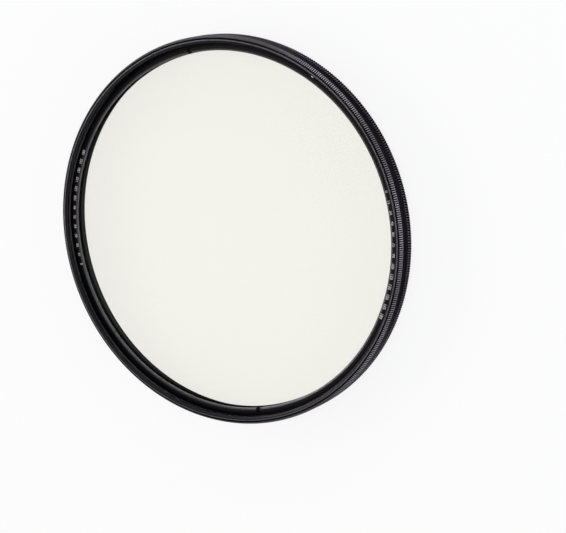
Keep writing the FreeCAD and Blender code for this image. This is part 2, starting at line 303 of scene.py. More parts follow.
class ClampRingSettings(bpy.types.PropertyGroup):
    """Sizes of the ring that clamps the glass."""
    outer_radius: packed("Outer radius", "Outside of the ring", RETAINER[HIGH].x)
    low: packed("Low", "Height of the lower face, on the glass", RETAINER[LOW].z)
    face: packed("Face", "Height of the printed face", RETAINER[HIGH].z)
    bore_radius: length("Bore radius", "Clear bore of the ring", 45.2387)
    bevel: length("Bevel", "Bevel between the face and the bore", 0.35)
    slot_width: length("Slot width", "Width of the spanner slots", 1.2)
    slot_depth: length("Slot depth", "Depth of the spanner slots", 0.4)
    slot_azimuth: angle("Slot azimuth", "Angle of the first spanner slot", -8.5)
    edge_break: length("Edge break", "Size of the broken edges", 0.05)


class ScaleSettings(bpy.types.PropertyGroup):
    """Sizes and places of the two scales and of the index mark."""
    digit_height: length("Digit height", "Height of the digits", 0.7)
    stroke_gain: length("Stroke gain", "Widening of the digits' strokes on each side", 0.01)
    radius: length("Radius", "Radius of the middle of the digits", 46.06)
    thickness: length("Thickness", "Thickness of the paint", 0.006)
    numbers: count("Numbers", "Numbers on each scale", 13)
    step: count("Step", "Degrees from one number to the next", 15)
    pitch: angle("Pitch", "Angle from one number to the next on the ring", 3.17)
    first_start: angle("First start", "Azimuth of the zero of the first scale", 85.0)
    second_start: angle("Second start", "Azimuth of the zero of the second scale", -93.0)
    index_azimuth: angle("Index azimuth", "Azimuth of the index mark", -53.0)
    index_size: length("Index size", "Distance from the middle of the index mark to a corner", 0.3)
    index_stretch: factor("Index stretch", "Widening of the index mark along the ring", 1.6)


class LaminateSettings(bpy.types.PropertyGroup):
    """Sizes of the glasses and films."""
    bevel: length("Edge bevel", "Ground bevel on the outer edges of the glasses", 0.15)
    cement: length("Cement", "Half the thickness of the cement between two discs", 0.004)
    inset: length("Film inset", "How far the films stay inside the edge of the glass", 0.05)


class FinishSettings(bpy.types.PropertyGroup):
    """Colours of the finishes."""
    black: colour("Black", "Black of the anodised rings", (0.022, 0.0213, 0.0232))
    plum: colour("Plum", "Tone that the anodising drifts to", (0.032, 0.029, 0.033))
    # The edge colour stands for worn metal and also paints the highlights on edges and tooth
    # crests.
    edge: colour("Edge", "Turned edges and tooth crests", (0.44, 0.425, 0.45))
    sheen: colour("Sheen", "Grazing reflections of the anodised rings", (0.37, 0.362, 0.38))
    matt_black: colour("Matt black", "Face of the clamp ring", (0.037, 0.037, 0.0355))
    glass_tint: colour("Glass tint", "Tint of each glass", (0.998, 1.0, 0.988))
    polarizer_tint: colour("Polarizer tint", "Tint of the polarizing film", (0.982, 1.0, 0.952))
    retarder_tint: colour("Retarder tint", "Tint of the retarder film", (0.999, 1.0, 0.996))
    coating: colour("Coating", "Reflection of the coated glass", (0.52, 0.95, 0.62))
    paint: colour("Paint", "Paint of the scale", (0.9, 0.905, 0.87))
    steel: colour("Steel", "Spring steel of the snap ring", (0.5, 0.49, 0.47))


class StageSettings(bpy.types.PropertyGroup):
    """Floor and camera."""
    floor: colour("Floor", "Colour of the floor", (0.96, 0.96, 0.96))
    camera_place: point("Camera place", "Place of the camera", (0.0, -0.18014, 0.29055))
    camera_aim: point("Camera aim", "Middle of the picture", (-0.01236, -0.01097, 0.00168))
    camera_up: FloatVectorProperty(name="Camera up", description="Direction of the upper edge",
                                   default=(0.9504, -0.2489, -0.1864), subtype="DIRECTION")
    lens: FloatProperty(name="Lens", description="Focal length in millimetres",
                        default=85.63, min=1.0, unit="CAMERA")


# Mesh helpers.

def wear_light_mesh():
    """Empty mesh whose points carry the wear and the painted light."""
    bm = bmesh.new()
    bm.verts.layers.float.new(WEAR_AND_LIGHT)
    return bm


def finish_mesh(name, bm, materials):
    """Close the seams, turn the faces outwards, crease the hard edges and link the piece."""
    bmesh.ops.remove_doubles(bm, verts=bm.verts[:], dist=MERGE_DISTANCE)
    bmesh.ops.recalc_face_normals(bm, faces=bm.faces[:])
    for face in bm.faces:
        face.smooth = True
    for edge in bm.edges:
        edge.smooth = len(edge.link_faces) == 2 and edge.calc_face_angle() < SHARP_ANGLE
    mesh = bpy.data.meshes.new(name)
    bm.to_mesh(mesh)
    bm.free()
    piece = bpy.data.objects.new(name, mesh)
    bpy.context.scene.collection.objects.link(piece)
    for material in materials:
        mesh.materials.append(material)
    return piece


def profile_points(bm, profile, azimuth=0.0):
    """Points of a turned profile, in the plane of the axis at an azimuth."""
    wear_light_layer = bm.verts.layers.float[WEAR_AND_LIGHT]
    verts = []
    for radius, level, wear_light in profile:
        vert = bm.verts.new((radius * math.cos(azimuth), radius * math.sin(azimuth), level))
        vert[wear_light_layer] = wear_light
        verts.append(vert)
    return verts


def profile_loop(bm, profile):
    """Closed wire of a turned profile, in the plane of the axis."""
    verts = profile_points(bm, profile)
    return verts + [bm.edges.new((verts[index - 1], vert)) for index, vert in enumerate(verts)]


def cap(bm, wire):
    """Close the end of a ridge with one face."""
    bmesh.ops.edgeloop_fill(bm, edges=[item for item in wire
                                       if isinstance(item, bmesh.types.BMEdge)])


def spin_to(bm, wire, profile, target, start, end, lift=0.0):
    """Spin a wire from one azimuth to the next and give its copy the target profile there."""
    wear_light_layer = bm.verts.layers.float[WEAR_AND_LIGHT]
    spun = bmesh.ops.spin(bm, geom=wire, cent=ORIGIN, axis=AXIS, dvec=(0, 0, lift),
                          angle=end - start, steps=1, use_merge=False, use_normal_flip=False,
                          use_duplicate=False)
    last = spun["geom_last"]
    for vert in [item for item in last if isinstance(item, bmesh.types.BMVert)]:
        radius = math.hypot(vert.co.x, vert.co.y)
        level = vert.co.z - lift
        row = min(range(len(profile)), key=lambda index: (abs(profile[index][0] - radius)
                                                          + abs(profile[index][1] - level)))
        new_radius, new_level, wear_light = target[row]
        vert.co = (new_radius * math.cos(end), new_radius * math.sin(end), new_level + lift)
        vert[wear_light_layer] = wear_light
    return [item for item in last if not isinstance(item, bmesh.types.BMFace)]


def plain_seams(bm, root, crest, pitch):
    """Edges along the profile, inside one tooth, that the tooth itself does not need."""
    toothed = [top for bottom, top in zip(root, crest) if bottom != top]

    def on_tooth(vert):
        radius = math.hypot(vert.co.x, vert.co.y)
        return any(abs(radius - tip) + abs(vert.co.z - level) < MERGE_DISTANCE
                   for tip, level, wear_light in toothed)

    def share(vert):
        return math.atan2(vert.co.y, vert.co.x) / pitch

    def inside(vert):
        return SEAM_MARGIN < share(vert) < 1 - SEAM_MARGIN and not on_tooth(vert)

    return [edge for edge in bm.edges if all(inside(vert) for vert in edge.verts)
            and abs(share(edge.verts[0]) - share(edge.verts[1])) < SEAM_MARGIN]


def knurled_turning(root, crest, teeth):
    """Ring of equal teeth: a groove, a land and the next groove, copied all the way round."""
    bm = wear_light_mesh()
    pitch = 2 * math.pi / teeth
    columns = [(0.0, root), (LAND_START, crest), (LAND_END, crest), (1.0, root)]
    wire = profile_loop(bm, root)
    for (start, profile), (end, target) in zip(columns, columns[1:]):
        wire = spin_to(bm, wire, profile, target, start * pitch, end * pitch)
    bmesh.ops.dissolve_edges(bm, edges=plain_seams(bm, root, crest, pitch), use_verts=True,
                             use_face_split=False)
    bmesh.ops.spin(bm, geom=bm.verts[:] + bm.edges[:] + bm.faces[:], cent=ORIGIN, axis=AXIS,
                   dvec=NO_STEP, angle=2 * math.pi - pitch, steps=teeth - 1, use_merge=False,
                   use_normal_flip=False, use_duplicate=True)
    return bm


def turned_arc(bm, profile, start, sweep, steps):
    """Closed stretch of a turned ring, from one azimuth through an angle."""
    verts = profile_points(bm, profile, start)
    face = bm.faces.new(verts)
    bmesh.ops.spin(bm, geom=verts + face.edges[:] + [face], cent=ORIGIN, axis=AXIS,
                   dvec=NO_STEP, angle=sweep, steps=steps, use_merge=False,
                   use_normal_flip=False, use_duplicate=False)


def helical_ridge(name, s, low, material):
    """One start of a thread: a ridge that rises from the wall, goes round and runs out again."""
    steps = round(s.thread_turns * TURN_STEPS)
    foot = RIDGE_FOOT * s.thread_pitch
    top = RIDGE_TOP * s.thread_pitch
    rise = s.thread_pitch / TURN_STEPS
    turn = 2 * math.pi / TURN_STEPS
    sunk = s.thread_root + math.copysign(RIDGE_SINK, s.thread_root - s.thread_crest)

    def section(step):
        share = min(1.0, step / RUN_IN_STEPS, (steps - step) / RUN_IN_STEPS)
        tip = s.thread_root + (s.thread_crest - s.thread_root) * share
        return [(sunk, low - foot, PLAIN), (tip, low - top, PLAIN), (tip, low + top, PLAIN),
                (sunk, low + foot, PLAIN)]

    def lifted(profile, step):
        return [(radius, level + rise * step, wear_light) for radius, level, wear_light in profile]

    bm = wear_light_mesh()
    wire = profile_loop(bm, section(0))
    cap(bm, wire)
    for step in range(steps):
        wire = spin_to(bm, wire, lifted(section(step), step), lifted(section(step + 1), step),
                       turn * step, turn * (step + 1), rise)
    cap(bm, wire)
    return finish_mesh(name, bm, [material])


def disc(name, radius, low, high, outer, bevel, materials):
    """Round plate; its outer side, if it has one, gets a ground edge and the other is cemented."""
    levels = (low, high)
    bm = bmesh.new()
    bmesh.ops.create_cone(bm, cap_ends=True, cap_tris=False, segments=DISC_STEPS, radius1=radius,
                          radius2=radius, depth=high - low,
                          matrix=Matrix.Translation((0, 0, (low + high) / 2)))
    if outer is not None:
        rim = [edge for edge in bm.edges
               if all(abs(vert.co.z - levels[outer]) < MERGE_DISTANCE for vert in edge.verts)]
        bmesh.ops.bevel(bm, geom=rim, offset=bevel, offset_type="OFFSET", affect="EDGES",
                        segments=2, profile=0.5, material=-1)
        for face in bm.faces:
            if abs(face.calc_center_median().z - levels[1 - outer]) < MERGE_DISTANCE:
                face.material_index = 1
    return finish_mesh(name, bm, materials)


# Finishes.

def new_material(name):
    """Material with its nodes, its links and its Principled shader."""
    material = bpy.data.materials.new(name)
    material.use_nodes = True
    nodes = material.node_tree.nodes
    links = material.node_tree.links
    return material, nodes, links, nodes["Principled BSDF"]


def node(nodes, kind, inputs=None, **settings):
    """Node with its settings and its unlinked inputs filled in."""
    made = nodes.new(kind)
    for key, value in settings.items():
        setattr(made, key, value)
    for key, value in (inputs or {}).items():
        made.inputs[key].default_value = value
    return made


def shaded(tint, share):
    """A colour made darker by a share."""
    return [part * share for part in tint]


def blend(nodes, links, amount, first, second):
    """Colour between two colours, by an amount."""
    mixed = node(nodes, "ShaderNodeMix", data_type="RGBA")
    mixed.inputs["A"].default_value = (*first, 1)
    mixed.inputs["B"].default_value = (*second, 1)
    links.new(amount, mixed.inputs["Factor"])
    return mixed


def own_place(nodes):
    """The piece's own coordinates."""
    return node(nodes, "ShaderNodeTexCoord").outputs["Object"]


def grain(nodes, links, place, noise):
    """Noise over coordinates, by its scale, detail and roughness."""
    scale, detail, roughness = noise
    made = node(nodes, "ShaderNodeTexNoise",
                {"Scale": scale, "Detail": detail, "Roughness": roughness})
    links.new(place, made.inputs["Vector"])
    return made.outputs["Fac"]


def ranged(nodes, links, value, ends, span=(0.0, 1.0)):
    """A value moved from a span to two ends, and held at them."""
    moved = node(nodes, "ShaderNodeMapRange", {"From Min": span[LOW], "From Max": span[HIGH],
                                               "To Min": ends[LOW], "To Max": ends[HIGH]})
    links.new(value, moved.inputs["Value"])
    return moved.outputs["Result"]


def turning_marks(nodes, links, place, noise):
    """Fine rings left by the tool: noise over the distance from the axis and the height."""
    parts = node(nodes, "ShaderNodeSeparateXYZ")
    links.new(place, parts.inputs["Vector"])
    flat = node(nodes, "ShaderNodeCombineXYZ")
    links.new(parts.outputs["X"], flat.inputs["X"])
    links.new(parts.outputs["Y"], flat.inputs["Y"])
    radius = node(nodes, "ShaderNodeVectorMath", operation="LENGTH")
    links.new(flat.outputs["Vector"], radius.inputs[0])
    rings = node(nodes, "ShaderNodeCombineXYZ")
    links.new(radius.outputs["Value"], rings.inputs["X"])
    links.new(parts.outputs["Z"], rings.inputs["Z"])
    return grain(nodes, links, rings.outputs["Vector"], noise)


def anodised(name, dark, drift, finish, satin):
    """Anodised aluminium: tool marks, a slow drift of tone, pale worn edges with painted
    highlights, and painted shade in the tooth gaps and steps.
    """
    rough, strength = satin
    material, nodes, links, shader = new_material(name)
    place = own_place(nodes)
    marks = turning_marks(nodes, links, place, LATHE_MARKS)
    tone = blend(nodes, links, grain(nodes, links, place, TONE_DRIFT), dark, drift)
    wear_light = node(nodes, "ShaderNodeAttribute", attribute_name=WEAR_AND_LIGHT)
    scuffs = ranged(nodes, links, grain(nodes, links, place, SCUFFS), SCUFF_SHARES, SCUFF_SPAN)
    # Pale worn edges and painted highlights: the drifting tone is mixed towards the edge colour,
    # broken up by the scuffs.
    amount = node(nodes, "ShaderNodeMath", operation="MULTIPLY")
    links.new(wear_light.outputs["Fac"], amount.inputs[0])
    links.new(scuffs, amount.inputs[1])
    surface = blend(nodes, links, amount.outputs["Value"], dark, finish.edge)
    links.new(tone.outputs["Result"], surface.inputs["A"])
    # Painted shade in the gaps and steps: the colour and the reflection tint are darkened there.
    painted_gap_shade = ranged(nodes, links, wear_light.outputs["Fac"], (GAP_SHADE_SHARE, 1.0), (FULL_GAP_SHADE, PLAIN))
    body = node(nodes, "ShaderNodeVectorMath", operation="SCALE")
    links.new(surface.outputs["Result"], body.inputs[0])
    links.new(painted_gap_shade, body.inputs["Scale"])
    links.new(body.outputs["Vector"], shader.inputs["Base Color"])
    sheen = node(nodes, "ShaderNodeVectorMath", {0: finish.sheen}, operation="SCALE")
    links.new(painted_gap_shade, sheen.inputs["Scale"])
    links.new(sheen.outputs["Vector"], shader.inputs["Specular Tint"])
    gloss = ranged(nodes, links, marks, (rough - GLOSS_SPREAD, rough + GLOSS_SPREAD))
    links.new(gloss, shader.inputs["Roughness"])
    bump = node(nodes, "ShaderNodeBump", {"Strength": strength, "Distance": RELIEF})
    links.new(marks, bump.inputs["Height"])
    links.new(bump.outputs["Normal"], shader.inputs["Normal"])
    shader.inputs["Metallic"].default_value = 1.0
    return material


def lamp_through(nodes, links, shader, tint):
    """Let the lamps shine through a clear piece, tinted, instead of casting a hard shadow."""
    clear = node(nodes, "ShaderNodeBsdfTransparent", {"Color": (*tint, 1)})
    path = node(nodes, "ShaderNodeLightPath")
    mix = node(nodes, "ShaderNodeMixShader")
    links.new(path.outputs["Is Shadow Ray"], mix.inputs["Fac"])
    links.new(shader.outputs["BSDF"], mix.inputs[1])
    links.new(clear.outputs["BSDF"], mix.inputs[2])
    links.new(mix.outputs["Shader"], nodes["Material Output"].inputs["Surface"])


def clear_finish(name, tint, surface, coating):
    """Clear polished plate or film with a faint unevenness in its tint."""
    refraction, reflection, unevenness = surface
    material, nodes, links, shader = new_material(name)
    clouds = grain(nodes, links, own_place(nodes), GLASS_CLOUDS)
    tone = blend(nodes, links, clouds, tint, shaded(tint, 1 - unevenness))
    links.new(tone.outputs["Result"], shader.inputs["Base Color"])
    shader.inputs["Roughness"].default_value = 0.0
    shader.inputs["Transmission Weight"].default_value = 1.0
    shader.inputs["IOR"].default_value = refraction
    shader.inputs["Specular IOR Level"].default_value = reflection
    shader.inputs["Specular Tint"].default_value = (*coating, 1)
    lamp_through(nodes, links, shader, tint)
    return material


def print_paint(name, paint):
    """Silk-screened paint, slightly uneven."""
    material, nodes, links, shader = new_material(name)
    specks = grain(nodes, links, own_place(nodes), PAINT_SPECKS)
    tone = blend(nodes, links, specks, shaded(paint, PAINT_SHADE), paint)
    links.new(tone.outputs["Result"], shader.inputs["Base Color"])
    shader.inputs["Roughness"].default_value = PAINT_ROUGHNESS
    return material


def spring_steel(name, steel):
    """Bright drawn strip with lines along its length."""
    material, nodes, links, shader = new_material(name)
    marks = turning_marks(nodes, links, own_place(nodes), STRIP_MARKS)
    tone = blend(nodes, links, marks, shaded(steel, STEEL_SHADE), steel)
    links.new(tone.outputs["Result"], shader.inputs["Base Color"])
    links.new(ranged(nodes, links, marks, STEEL_ROUGHNESS), shader.inputs["Roughness"])
    shader.inputs["Metallic"].default_value = 1.0
    return material


# Profiles, as (radius, height, wear and painted light) points from the inside of the lower end
# outwards and up.

def front_ring_profiles(s):
    """Profiles of the front ring in a groove of its knurl and on a tooth."""
    taper = math.atan2(s.band_radius - s.knurl_radius, s.knurl_high - s.knurl_low)
    inward = s.knurl_depth * math.cos(taper)
    downward = s.knurl_depth * math.sin(taper)
    run_out = s.knurl_depth / math.sin(taper)
    soft = s.edge_break
    mouth_foot = s.rim - (s.mouth_radius - s.thread_root)
    lower = [
        (s.aperture_radius, s.neck_end, PLAIN),
        (s.neck_radius - s.neck_chamfer, s.neck_end, PLAIN),
        (s.neck_radius, s.neck_end + s.neck_chamfer, PLAIN),
        (s.neck_radius, s.groove_low, PLAIN),
        (s.groove_radius, s.groove_low, PLAIN),
        (s.groove_radius, s.groove_high, PLAIN),
        (s.neck_radius, s.groove_high, PLAIN),
        (s.neck_radius, s.shoulder, PLAIN),
        (s.band_radius - 3 * soft, s.shoulder, PLAIN),
        (s.band_radius - soft, s.shoulder + soft, SHOULDER_EDGE),
        (s.band_radius, s.shoulder + 3 * soft, PLAIN),
        (s.band_radius, s.knurl_low - run_out - soft, PLAIN),
    ]
    groove = [
        (s.band_radius, s.knurl_low - run_out, PLAIN),
        (s.knurl_radius - inward, s.knurl_high - downward, GAP_SHADE),
    ]
    tooth = [
        (s.band_radius, s.knurl_low - TOOTH_START * run_out, FRONT_TOOTH_FOOT),
        (s.knurl_radius, s.knurl_high, FRONT_TOOTH_TIP),
    ]
    upper = [
        (s.knurl_radius - 1.5 * soft, s.knurl_high, KNURL_LEDGE_SHADE),
        (s.rim_foot_radius, s.knurl_high + 0.3 * soft, RIM_FOOT_SHADE),
        (s.rim_foot_radius - soft, s.knurl_high + 1.6 * soft, RIM_BEVEL_FOOT_SHADE),
        (s.rim_radius + 0.7 * soft, s.rim - soft, RIM_BEVEL_TOP_SHADE),
        (s.rim_radius - 0.5 * soft, s.rim, RIM_EDGE),
        (s.rim_radius - 2.5 * soft, s.rim, RIM_HIGHLIGHT_LINE),
        (s.mouth_radius + soft, s.rim, RIM_INSIDE_SHADE),
        (s.mouth_radius - soft, s.rim - soft, MOUTH_EDGE_SHADE),
        (s.thread_root + soft, mouth_foot, PLAIN),
        (s.thread_root, mouth_foot - soft, PLAIN),
        (s.thread_root, RETAINER[HIGH].z, PLAIN),
        (s.seat_radius, RETAINER[HIGH].z, PLAIN),
        (s.seat_radius, REAR_GLASS[LOW].z, PLAIN),
        (s.aperture_radius, REAR_GLASS[LOW].z, PLAIN),
    ]
    return lower + groove + upper, lower + tooth + upper


def rear_ring_profiles(s):
    """Profiles of the rear ring in a groove of its knurl and on a tooth."""
    soft = s.edge_break
    end = REAR_RING[LOW].z
    inner = s.flange_radius - s.knurl_depth
    lower = [
        (s.bore_radius + 3 * soft, end, PLAIN),
        (s.thread_root - s.thread_lead, end, LEAD_EDGE),
        (s.thread_root, end + s.thread_lead, PLAIN),
        (s.thread_root, s.relief_low, PLAIN),
        (s.relief_radius, s.relief_low + soft, PLAIN),
        (s.relief_radius, s.flange_low - soft, PLAIN),
        (s.relief_radius + soft, s.flange_low, PLAIN),
        (inner - soft, s.flange_low, PLAIN),
    ]
    groove = [
        (inner, s.flange_low + soft, GAP_SHADE),
        (inner, s.flange_top - soft, GAP_SHADE),
    ]
    tooth = [
        (s.flange_radius, s.flange_low + s.flange_bevel, REAR_TOOTH_FOOT),
        (s.flange_radius, s.flange_top - s.flange_bevel, REAR_TOOTH_TIP),
    ]
    upper = [
        (inner - soft, s.flange_top, PLAIN),
        (s.socket_radius + soft, s.flange_top, PLAIN),
        (s.socket_radius, s.flange_top - soft, PLAIN),
        (s.socket_radius, s.groove_high, PLAIN),
        (s.groove_radius, s.groove_high, PLAIN),
        (s.groove_radius, s.groove_low, PLAIN),
        (s.socket_radius, s.groove_low, PLAIN),
        (s.socket_radius, s.socket_floor, PLAIN),
        (s.bore_radius, s.socket_floor, PLAIN),
        (s.bore_radius, end + 3 * soft, PLAIN),
    ]
    return lower + groove + upper, lower + tooth + upper


def clamp_ring_profile(s, face):
    """Profile of the clamp ring with its face, or the floor of a slot, at a height."""
    soft = s.edge_break
    bevel_radius = s.bore_radius + s.bevel
    bevel_end = s.face - s.bevel
    profile = [
        (s.bore_radius, s.low, PLAIN),
        (s.outer_radius, s.low, PLAIN),
        (s.outer_radius, face - soft, PLAIN),
        (s.outer_radius - soft, face, PLAIN),
    ]
    if face < s.face:
        return profile + [(s.bore_radius, face, PLAIN)]
    return profile + [
        (bevel_radius + 2.6 * soft, face, PLAIN),
        (bevel_radius + 1.8 * soft, face - 0.25 * soft, FACE_EDGE),
        (bevel_radius - 0.4 * soft, face - 1.2 * soft, BEVEL_START),
        (bevel_radius - 2.2 * soft, face - 2.9 * soft, BEVEL_MIDDLE),
        (s.bore_radius + 1.5 * soft, bevel_end + 1.5 * soft, BEVEL_END),
        (s.bore_radius, bevel_end, BORE_EDGE),
        (s.bore_radius, bevel_end - 1.5 * soft, BORE_WALL),
    ]


class FilterPiece:
    """What every operator of the filter shares."""
    bl_options = {"REGISTER", "UNDO"}


class OBJECT_OT_filter_front_ring(FilterPiece, bpy.types.Operator):
    """Turn the front ring with its knurled bevel and the ridge of its thread."""
    bl_idname = "object.filter_front_ring"
    bl_label = "Front ring"

    def execute(self, context):
        s = context.scene.filter_front_ring
        finish = context.scene.filter_finish
        black = anodised("black_anodised_front", finish.black, finish.plum, finish, FRONT_SATIN)
        knurled = knurled_turning(*front_ring_profiles(s), s.knurl_teeth)
        ring = finish_mesh("knurled_front_ring", knurled, [black])
        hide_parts("front_ring")
        thread = helical_ridge("front_thread", s, RETAINER[HIGH].z + s.thread_start, black)
        for piece in (ring, thread):
            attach(piece, "front")
        return {"FINISHED"}


class OBJECT_OT_filter_rear_ring(FilterPiece, bpy.types.Operator):
    """Turn the rear ring with its knurled flange and its male thread."""
    bl_idname = "object.filter_rear_ring"
    bl_label = "Rear ring"

    def execute(self, context):
        s = context.scene.filter_rear_ring
        finish = context.scene.filter_finish
        black = anodised("black_anodised_rear", finish.black, finish.plum, finish, REAR_SATIN)
        knurled = knurled_turning(*rear_ring_profiles(s), s.knurl_teeth)
        ring = finish_mesh("knurled_rear_ring", knurled, [black])
        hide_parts("rear_ring")
        thread = helical_ridge("rear_thread", s, REAR_RING[LOW].z + s.thread_start, black)
        for piece in (ring, thread):
            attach(piece, "rear")
        return {"FINISHED"}


class OBJECT_OT_filter_clamp_ring(FilterPiece, bpy.types.Operator):
    """Turn the ring that clamps the glass, with two spanner slots."""
    bl_idname = "object.filter_clamp_ring"
    bl_label = "Clamp ring"

    def execute(self, context):
        s = context.scene.filter_clamp_ring
        finish = context.scene.filter_finish
        matt = anodised("matt_anodised_clamp", finish.matt_black, finish.black, finish, CLAMP_MATT)
        full = clamp_ring_profile(s, s.face)
        cut = clamp_ring_profile(s, s.face - s.slot_depth)
        slot = s.slot_width / s.outer_radius
        bm = wear_light_mesh()
        for side in (0.0, math.pi):
            start = s.slot_azimuth + side - slot / 2
            turned_arc(bm, cut, start, slot, SLOT_STEPS)
            turned_arc(bm, full, start + slot, math.pi - slot, HALF_RING_STEPS)
        ring = finish_mesh("glass_clamp_ring", bm, [matt])
        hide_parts("glass_retaining_ring")
        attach(ring, "front")
        return {"FINISHED"}


class OBJECT_OT_filter_laminate(FilterPiece, bpy.types.Operator):
    """Lay up the two glasses and the two films between them."""
    bl_idname = "object.filter_laminate"
    bl_label = "Glasses and films"

    def execute(self, context):
        s = context.scene.filter_laminate
        finish = context.scene.filter_finish
        tint, coating = finish.glass_tint, finish.coating
        glass = [clear_finish("coated_glass", tint, COATED, coating),
                 clear_finish("cemented_glass", tint, CEMENTED, coating)]
        polarizer = clear_finish("polarizing_film", finish.polarizer_tint, POLARIZING, coating)
        retarder = clear_finish("retarder_film", finish.retarder_tint, CEMENTED, coating)
        stack = [
            ("front_glass_disc", "front_glass", FRONT_GLASS, HIGH, glass, "coated_glass"),
            ("polarizer_foil", "polarizing_film", POLARIZER, None, [polarizer], "polarizing_film"),
            ("retarder_foil", "quarter_wave_film", RETARDER, None, [retarder], "retarder_film"),
            ("rear_glass_disc", "rear_glass", REAR_GLASS, LOW, glass, "coated_glass"),
        ]
        for name, cad_node, place, outer, materials, slot in stack:
            low = place[LOW].z + (0.0 if outer == LOW else s.cement)
            high = place[HIGH].z - (0.0 if outer == HIGH else s.cement)
            radius = place[HIGH].x - (s.inset if outer is None else 0.0)
            piece = disc(name, radius, low, high, outer, s.bevel, materials)
            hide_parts(cad_node)
            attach(piece, "front")
        return {"FINISHED"}


class OBJECT_OT_filter_snap_ring(FilterPiece, bpy.types.Operator):
    """Finish the flat snap ring that keeps the two rings together."""
    bl_idname = "object.filter_snap_ring"
    bl_label = "Snap ring"

    def execute(self, context):
        steel = spring_steel("bright_spring_steel", context.scene.filter_finish.steel)
        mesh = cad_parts["snap_ring"].data
        mesh.materials.clear()
        mesh.materials.append(steel)
        return {"FINISHED"}


class OBJECT_OT_filter_scale(FilterPiece, bpy.types.Operator):
    """Print the two scales on the clamp ring and the index mark on the front ring's mouth."""
    bl_idname = "object.filter_scale"
    bl_label = "Scale and index"

    def execute(self, context):
        s = context.scene.filter_scale
        paint = print_paint("scale_paint", context.scene.filter_finish.paint)
        scale = bmesh.new()
        for start in (s.first_start, s.second_start):
            for place in range(s.numbers):
                self.digits(scale, str(s.step * place), start - s.pitch * place, context)
        marks = finish_mesh("scale_marks", scale, [paint])
        index = bmesh.new()
        self.index(index, context)
        arrow = finish_mesh("index_mark", index, [paint])
        for piece in (marks, arrow):
            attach(piece, "front")
        return {"FINISHED"}

    def place(self, azimuth, radius, level):
        """Frame on a face, with X along the reading direction and Y outwards."""
        out = Vector((math.cos(azimuth), math.sin(azimuth), 0))
        along = Vector((math.sin(azimuth), -math.cos(azimuth), 0))
        turn = Matrix((along, out, Vector(AXIS))).transposed().to_4x4()
        return Matrix.Translation(out * radius + Vector((0, 0, level))) @ turn

    def digits(self, bm, text, azimuth, context):
        """Digits as thin paint, made a mesh before they are put in place."""
        s = context.scene.filter_scale
        curve = bpy.data.curves.new("digits", "FONT")
        curve.body = text
        curve.size = s.digit_height / DIGIT_SHARE
        curve.offset = s.stroke_gain
        curve.align_x = "CENTER"
        curve.align_y = "CENTER"
        curve.resolution_u = 2
        letters = bpy.data.objects.new("digits", curve)
        context.scene.collection.objects.link(letters)
        context.view_layer.update()
        flat = letters.evaluated_get(context.evaluated_depsgraph_get())
        mesh = bpy.data.meshes.new_from_object(flat)
        bpy.data.objects.remove(letters)
        bpy.data.curves.remove(curve)
        before = set(bm.verts)
        bm.from_mesh(mesh)
        bpy.data.meshes.remove(mesh)
        verts = [vert for vert in bm.verts if vert not in before]
        level = context.scene.filter_clamp_ring.face + s.thickness
        self.lay(bm, verts, self.place(azimuth, s.radius, level), s)

    def index(self, bm, context):
        """Small triangle on the bevel of the front ring's mouth, pointing inwards."""
        s = context.scene.filter_scale
        ring = context.scene.filter_front_ring
        made = bmesh.ops.create_circle(bm, cap_ends=True, segments=3, radius=s.index_size)
        verts = made["verts"]
        half_turn = Matrix.Rotation(math.pi, 3, "Z")
        bmesh.ops.rotate(bm, cent=ORIGIN, matrix=half_turn, verts=verts)
        bmesh.ops.scale(bm, vec=(s.index_stretch, 1.0, 1.0), verts=verts)
        radius = (ring.mouth_radius + ring.thread_root) / 2
        level = ring.rim - (ring.mouth_radius - radius) + 2 * s.thickness
        tilt = Matrix.Rotation(MOUTH_SLOPE, 4, "X")
        self.lay(bm, verts, self.place(s.index_azimuth, radius, level) @ tilt, s)

    def lay(self, bm, verts, matrix, s):
        """Put flat print in place and give it its thickness of paint."""
        bmesh.ops.transform(bm, matrix=matrix, verts=verts)
        faces = list({face for vert in verts for face in vert.link_faces})
        grown = bmesh.ops.extrude_face_region(bm, geom=faces, use_keep_orig=True)
        under = [item for item in grown["geom"] if isinstance(item, bmesh.types.BMVert)]
        bmesh.ops.translate(bm, vec=(0, 0, -PAINT_BODY * s.thickness), verts=under)


